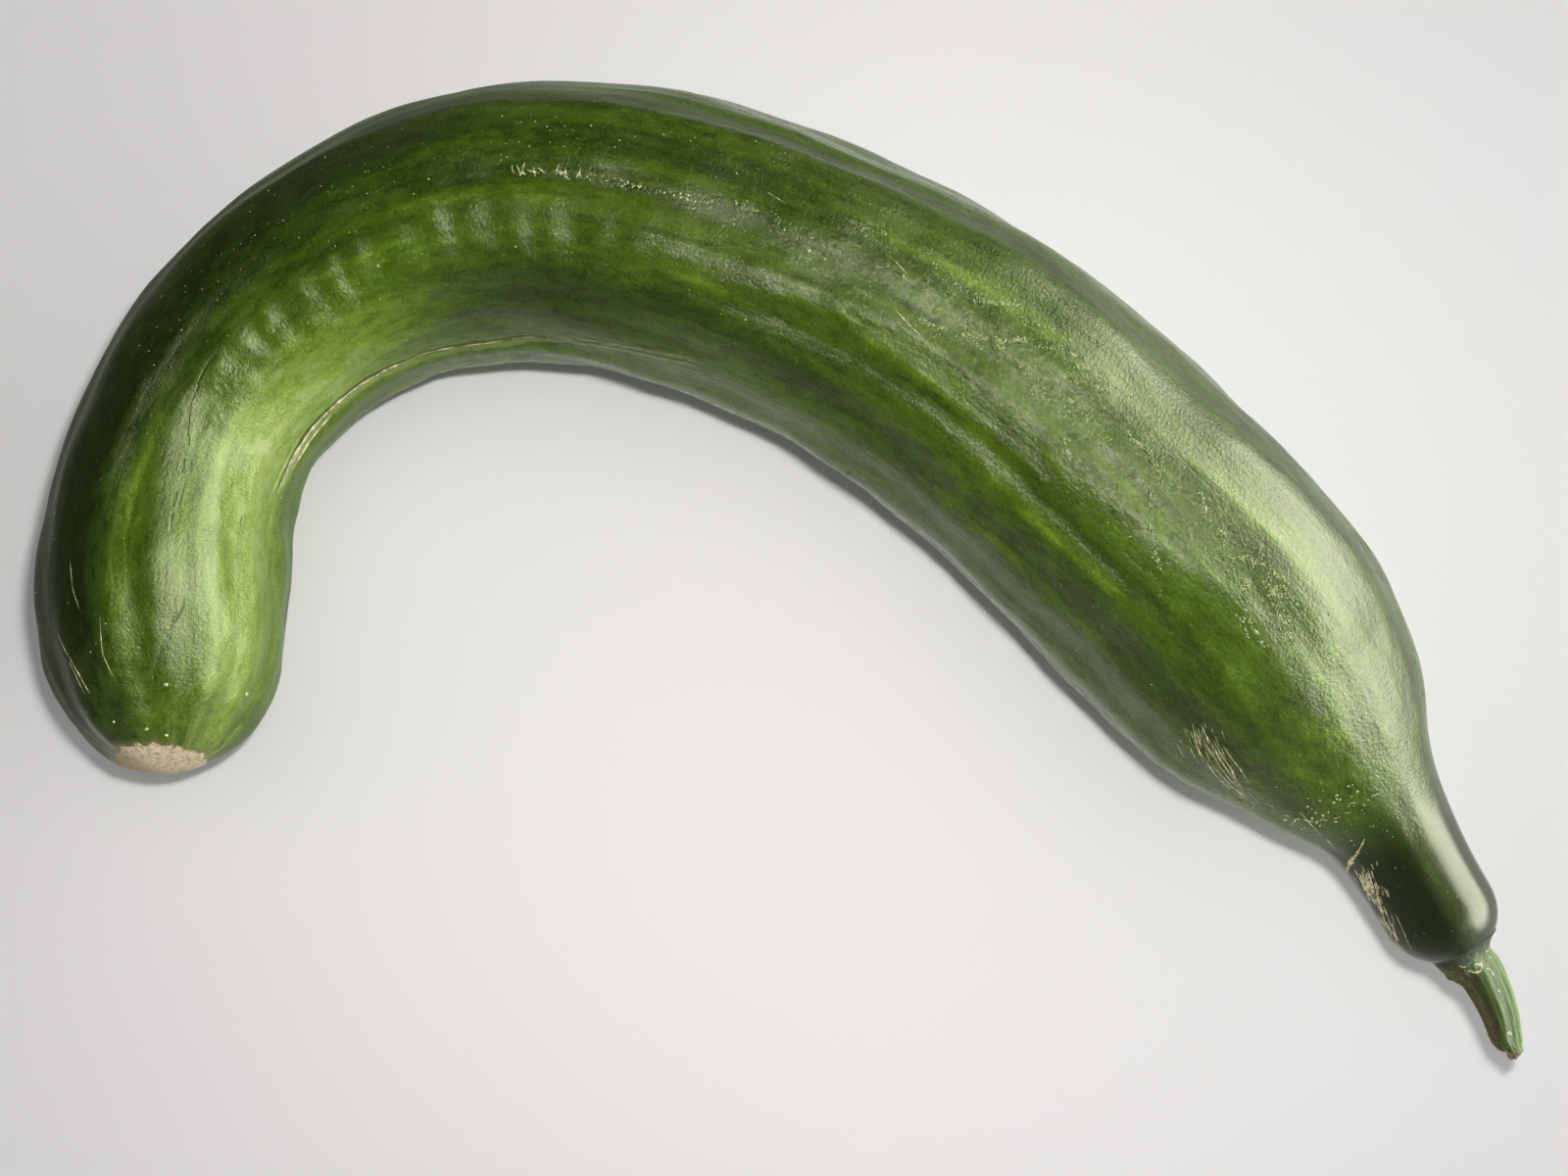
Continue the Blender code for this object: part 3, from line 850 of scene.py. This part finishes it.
def ribbons(name, on_skin, girth_at, strips, lift):
    """One mesh of thin strips, each with its width and its path."""
    shape = bmesh.new()
    for width, path in strips:
        ribbon(shape, on_skin, girth_at, path, width, lift)
    bmesh.ops.recalc_face_normals(shape, faces=shape.faces)
    return piece_from(shape, name, smooth=False)


scuff_piece = ribbons("skin_scuffs", on_fruit, girth, scuffs, lift=0.07)
healed, surface, flow = new_material("healed_scuffs")
patchy = flow.place().grain(1100, 3, 0.6)
colour = patchy.ramp((0.34, (0.20, 0.175, 0.07)), (0.48, (0.54, 0.48, 0.27)), (0.62, (0.74, 0.69, 0.45)))
flow.join(surface, {"Base Color": colour, "Roughness": 0.55 + patchy * 0.25})
scuff_piece.data.materials.append(healed)
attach(scuff_piece, "root")

# Nicks: thin dark lines where the growing skin was cut or split and closed again without any cork, and
# where
# it folded into fine creases, whose dark is painted shade. Each is a narrow ribbon on the skin like the
# scuffs:
# width, then path.
NICKS = (
    (0.30, ((15, -15), (19, -19), (22, -23), (25, -27))),
    (0.34, ((52, -47), (54, -48), (55, -46))),
    (0.30, ((43, -56), (46, -56))),
    (0.16, ((73, -62), (76, -52), (79, -44))),
    (0.14, ((88, -43), (91, -41), (94, -39))),
    (0.14, ((66, -66), (70, -69), (73, -73))),
    (0.16, ((190, -10), (193, -14), (195, -16))),
)
nick_piece = ribbons("skin_nicks_and_crease_shade", on_fruit, girth, NICKS, lift=0.06)
cracks_and_crease_shade, surface, flow = new_material("dark_cracks_and_crease_shade")
patchy = flow.place().grain(900, 2).rise(0.3, 0.7)
# The dark of the splits, and the painted shade of the creases.
colour = patchy.between((0.012, 0.024, 0.004, 1), (0.05, 0.075, 0.012, 1))
flow.join(surface, {"Base Color": colour, "Roughness": 0.5})
nick_piece.data.materials.append(cracks_and_crease_shade)
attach(nick_piece, "root")

# The stalk is a woody green stub, five-ribbed and fibrous, that flares into the fruit's end. It was torn
# off by hand, which left a slanted break. Its stations are x, y and z. Its girth is given as distances from
# the foot and the radius at each.
STALK_STATIONS = (
    (123.3, -71.3, 25.0),
    (124.7, -74.0, 25.2),
    (126.1, -77.4, 25.5),
    (127.0, -81.0, 25.8),
    (127.6, -84.2, 26.0),
    (128.1, -85.5, 26.0),
)
STALK_GIRTH = (
    (0.0, 6.6),
    (0.5, 5.9),
    (1.1, 5.35),
    (1.8, 4.95),
    (2.7, 4.55),
    (3.8, 4.2),
    (5.2, 3.85),
    (7.4, 3.5),
    (11.4, 3.0),
    (15.6, 2.65),
    (18.0, 2.45),
    (18.8, 2.2),
    (19.3, 1.5),
    (19.4, 0.5),
)
STALK_SEGMENTS, STALK_RINGS = 112, 160
TORN_SLANT = 0.9
foot_along = np.array([fruit_line.length - 2.5, fruit_line.length + 0.2])
foot, _ = fruit_line.place(foot_along, np.zeros(2), np.zeros(2))
stalk_points = np.vstack([foot, STALK_STATIONS])
stalk_line = CentreLine(np.column_stack([stalk_points, np.zeros(len(stalk_points))]))


def stalk_girth(along):
    at, size = np.array(STALK_GIRTH).T
    return np.interp(along, at * stalk_line.length / at[-1], size)


def stalk_rib(along, angle):
    """1 on the crests of five ribs that twist a little, and -1 between them."""
    return np.cos(5 * angle + 0.12 * along)


def stalk_relief(along, angle, radius):
    """Ribs with fibres between, a web towards the inside at the foot, torn flaps and a ragged break."""
    end = stalk_line.length
    inside = smooth_step(2.0, 5.5, along) * (1 - smooth_step(end - 3.0, end - 1.0, along))
    straight = straightened(along, angle, radius)
    ribs = 0.34 * stalk_rib(along, angle) + 0.07 * np.cos(19 * angle + 0.3 * along)
    web = -0.5 * np.sin(angle) * np.exp(-(((along - 3.2) / 2.4) ** 2))
    torn = np.maximum(lumps(straight, 1.2, 1, 2) - 0.1, 0)
    flaps = 0.6 * np.exp(-(((along - 3.4) / 1.2) ** 2)) * torn
    ragged = 0.3 * smooth_step(end - 2.6, end - 1.4, along) * lumps(straight, 0.7, 1.5, 8)
    return (ribs + 0.12 * lumps(straight, 1.1, 4)) * inside + web + flaps + ragged - 0.05


fine = np.linspace(0, stalk_line.length, 600)
stalk_rings = evenly_spaced(fine, stalk_girth(fine), STALK_RINGS)
stalk_rings = np.concatenate([[0], stalk_rings, [stalk_line.length]])
stalk_radius = np.concatenate([[0], stalk_girth(stalk_rings[1:-1]), [0]])
stalk, stalk_along, stalk_angle, _ = swept_skin(
    "stalk_skin", stalk_line, stalk_rings, stalk_radius, STALK_SEGMENTS, stalk_relief
)
slant = smooth_step(stalk_line.length - 6, stalk_line.length - 0.5, stalk_along)
for vertex, share, turn in zip(stalk.data.vertices, slant, stalk_angle):
    vertex.co.y -= TORN_SLANT * MM * share * math.sin(turn)
keep(stalk.data, "rib", stalk_rib(stalk_along, stalk_angle))
keep(stalk.data, "side", np.sin(stalk_angle))
keep(stalk.data, "along", stalk_along)
fibrous, surface, flow = new_material("fibrous_stalk")
straight = flow.stored("straight", "Vector")
rib, side, reach = flow.stored("rib"), flow.stored("side"), flow.stored("along")
fibre = straight.scaled(0.12, 1, 1).grain(1.5, 4, 0.6)
fleck = straight.grain(3.0, 3, 0.6)
# The side term paints the right of the stalk lighter and its left darker: painted light and shade.
shade = fibre * 0.72 - 0.04 + rib * 0.08 + side * 0.20 + (fleck - 0.5) * 0.3
green = shade.ramp(
    (0.12, (0.018, 0.026, 0.003)),
    (0.30, (0.045, 0.095, 0.004)),
    (0.54, (0.10, 0.19, 0.012)),
    (0.80, (0.36, 0.52, 0.16)),
)
# Painted shade on the stalk's left side, tinted brown like its edge there.
shaded_brown_side = side.rise(-0.45, -0.95) * fleck.rise(0.35, 0.55)
green = (shaded_brown_side * 0.6).between(green, (0.12, 0.085, 0.03, 1))
dried_end = (reach + (fleck - 0.5) * 1.2).rise(stalk_line.length - 1.1, stalk_line.length - 0.4)
brown = fibre.rise(0.35, 0.65).between((0.05, 0.03, 0.012, 1), (0.32, 0.24, 0.11, 1))
pale_foot = (reach + (fleck - 0.5) * 2.0).rise(4.4, 3.4) * straight.grain(1.1, 3).rise(0.53, 0.60)
green = (pale_foot * 0.25).between(green, (0.30, 0.30, 0.16, 1))
into_neck = (reach + (fleck - 0.5) * 1.6).rise(3.0, 1.2)
green = (into_neck * 0.85).between(green, (0.014, 0.022, 0.006, 1))
green = dried_end.between(green, brown)
finish = {
    "Base Color": green,
    "Roughness": 0.44 + fleck * 0.2 + dried_end * 0.2,
    "Normal": bumped(flow, (fibre - 0.5) * 0.45 + (fleck - 0.5) * 0.12),
    "IOR": 1.36,
}
flow.join(surface, finish)
stalk.data.materials.append(fibrous)
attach(stalk, "root")
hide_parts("stalk")


def on_stalk(along, degrees, lift=0.0):
    """Places on the stalk in metres, and the directions outwards there."""
    along, angle = np.asarray(along, float), np.radians(np.asarray(degrees, float))
    radius = stalk_girth(along)
    place, outward = stalk_line.place(along, angle, radius + stalk_relief(along, angle, radius) + lift)
    return place * MM, outward


# Flakes: papery strips of dried skin on the stalk, most of them where it meets the neck. Each is a ribbon:
# width, then a path of distances from the stalk's foot and degrees round it.
FLAKES = (
    (0.55, ((3.0, -30), (3.9, -24), (4.3, -12), (3.7, -2), (3.0, 2))),
    (0.40, ((2.7, -12), (3.1, -6), (3.9, 0))),
    (0.50, ((2.2, 24), (2.6, 32), (2.3, 42))),
    (0.35, ((3.4, 28), (4.0, 33), (4.2, 41))),
    (0.45, ((5.2, 10), (6.4, 12), (7.0, 17))),
    (0.30, ((4.6, 2), (5.0, 8), (5.6, 11))),
    (0.30, ((8.9, 4), (9.6, 9))),
    (0.50, ((16.6, -14), (16.2, -4), (16.9, 4))),
    (0.28, ((1.8, -40), (2.3, -34), (2.5, -28))),
    (0.30, ((2.0, 52), (2.5, 60), (2.6, 70))),
)
flakes = ribbons("stalk_flakes", on_stalk, stalk_girth, FLAKES, lift=0.10)
flakes.data.materials.append(healed)
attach(flakes, "root")

# The nub: what is left of the stalk's woody core, dried brown. It sticks out of the torn end as a knob, and
# is made as a ball that is stretched a little and roughened with noise.
NUB_RADIUS, NUB_STRETCH = 0.95, 1.2
nub_middle = (Vector(STALK_STATIONS[-1]) + Vector((0.2, 0.2, 0.2))) * MM
shape = bmesh.new()
bmesh.ops.create_icosphere(shape, subdivisions=4, radius=1.0)
for vertex in shape.verts:
    rough = 1 + 0.30 * noise.noise(vertex.co * 1.7) + 0.14 * noise.noise(vertex.co * 5)
    vertex.co = Vector((vertex.co.x, vertex.co.y * NUB_STRETCH, vertex.co.z)) * NUB_RADIUS * rough * MM
    vertex.co += nub_middle
nub = piece_from(shape, "stalk_nub")
dry_core, surface, flow = new_material("dry_core")
patchy = flow.place().grain(900, 4, 0.65)
colour = patchy.ramp((0.36, (0.035, 0.020, 0.010)), (0.5, (0.16, 0.10, 0.04)), (0.64, (0.42, 0.32, 0.16)))
flow.join(surface, {"Base Color": colour, "Roughness": 0.5 + patchy * 0.4})
nub.data.materials.append(dry_core)
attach(nub, "root")

# The table, the lights and the camera. The photo was taken from above with a small flash beside the lens. A
# wide window on the right shows in the skin and its low daylight runs over the table, and a far wall on the
# left and the ceiling light the rest. The room is dark overhead and brighter low down on the right.
bpy.ops.mesh.primitive_plane_add(size=4, location=(0, 0, -0.0001))
table = bpy.context.object
table.name = "table"
white, surface, flow = new_material("pale_table")
colour = flow.place().grain(3, 2).between((0.80, 0.785, 0.780, 1), (0.82, 0.805, 0.800, 1))
flow.join(surface, {"Base Color": colour, "Roughness": 0.7, "Specular IOR Level": 0.15})
table.data.materials.append(white)

world = bpy.data.worlds.new("soft_room")
world.use_nodes = True
flow = Flow(world.node_tree)
direction = flow.node("TexCoord", {}, "Generated")
right, front, height = direction.part(0), direction.part(1) * -1, direction.part(2)
room = 0.03 + height.rise(0.85, 0.35) * (0.06 + front.rise(0.2, 0.9) * 0.35 + right.rise(0.40, 0.90) * 1.6)
flow.join(world.node_tree.nodes["Background"], {"Strength": room, "Color": (0.98, 0.99, 1.0, 1)})
bpy.context.scene.world = world


def area_light(name, place, width, height, power, tint, in_gloss=True, in_matt=True):
    """A soft rectangular light turned towards the object, for its gloss, its matt colour or both."""
    lamp = bpy.data.lights.new(name, "AREA")
    lamp.shape, lamp.size, lamp.size_y = "RECTANGLE", width, height
    lamp.energy, lamp.color = power, tint
    held = bpy.data.objects.new(name, lamp)
    held.location = place
    held.rotation_euler = (Vector((0.02, 0, 0.02)) - Vector(place)).to_track_quat("-Z", "Y").to_euler()
    held.visible_camera, held.visible_glossy, held.visible_diffuse = False, in_gloss, in_matt
    bpy.context.scene.collection.objects.link(held)


CAMERA_PLACE, FLASH_PLACE = (0.0036, -0.036, 0.318), (0.0223, -0.0068, 0.318)
FLASH_TINT = (1.0, 0.98, 0.965)
# Each light has its place, width and height in metres, its power in watts and its tint.
area_light("flash", FLASH_PLACE, 0.022, 0.014, 0.70, FLASH_TINT)
area_light("flash_glint", FLASH_PLACE, 0.030, 0.022, 0.32, FLASH_TINT, in_matt=False)
area_light("window", (0.9, 0.13, 0.52), 1.60, 0.90, 78.0, (1.0, 1.0, 0.93), in_matt=False)
area_light("daylight", (0.9, 0.12, 0.17), 1.3, 0.25, 1.5, (1.0, 1.0, 1.0), in_gloss=False)
area_light("far_wall", (-0.8, 0.15, 0.7), 1.0, 1.0, 1.2, (1.0, 0.99, 0.98), in_gloss=False)
area_light("ceiling", (0.1, 0.2, 1.3), 1.2, 1.2, 2.95, (1.0, 0.995, 0.99), in_gloss=False)

lens = bpy.data.cameras.new("camera")
lens.sensor_width, lens.lens = 36, 38.25
lens.clip_start, lens.clip_end = 0.01, 20
camera = bpy.data.objects.new("camera", lens)
camera.location = CAMERA_PLACE
camera.rotation_euler = (math.radians(6), 0, 0)
bpy.context.scene.collection.objects.link(camera)
bpy.context.scene.camera = camera
bpy.context.scene.view_settings.view_transform = "Standard"

bpy.context.view_layer.update()
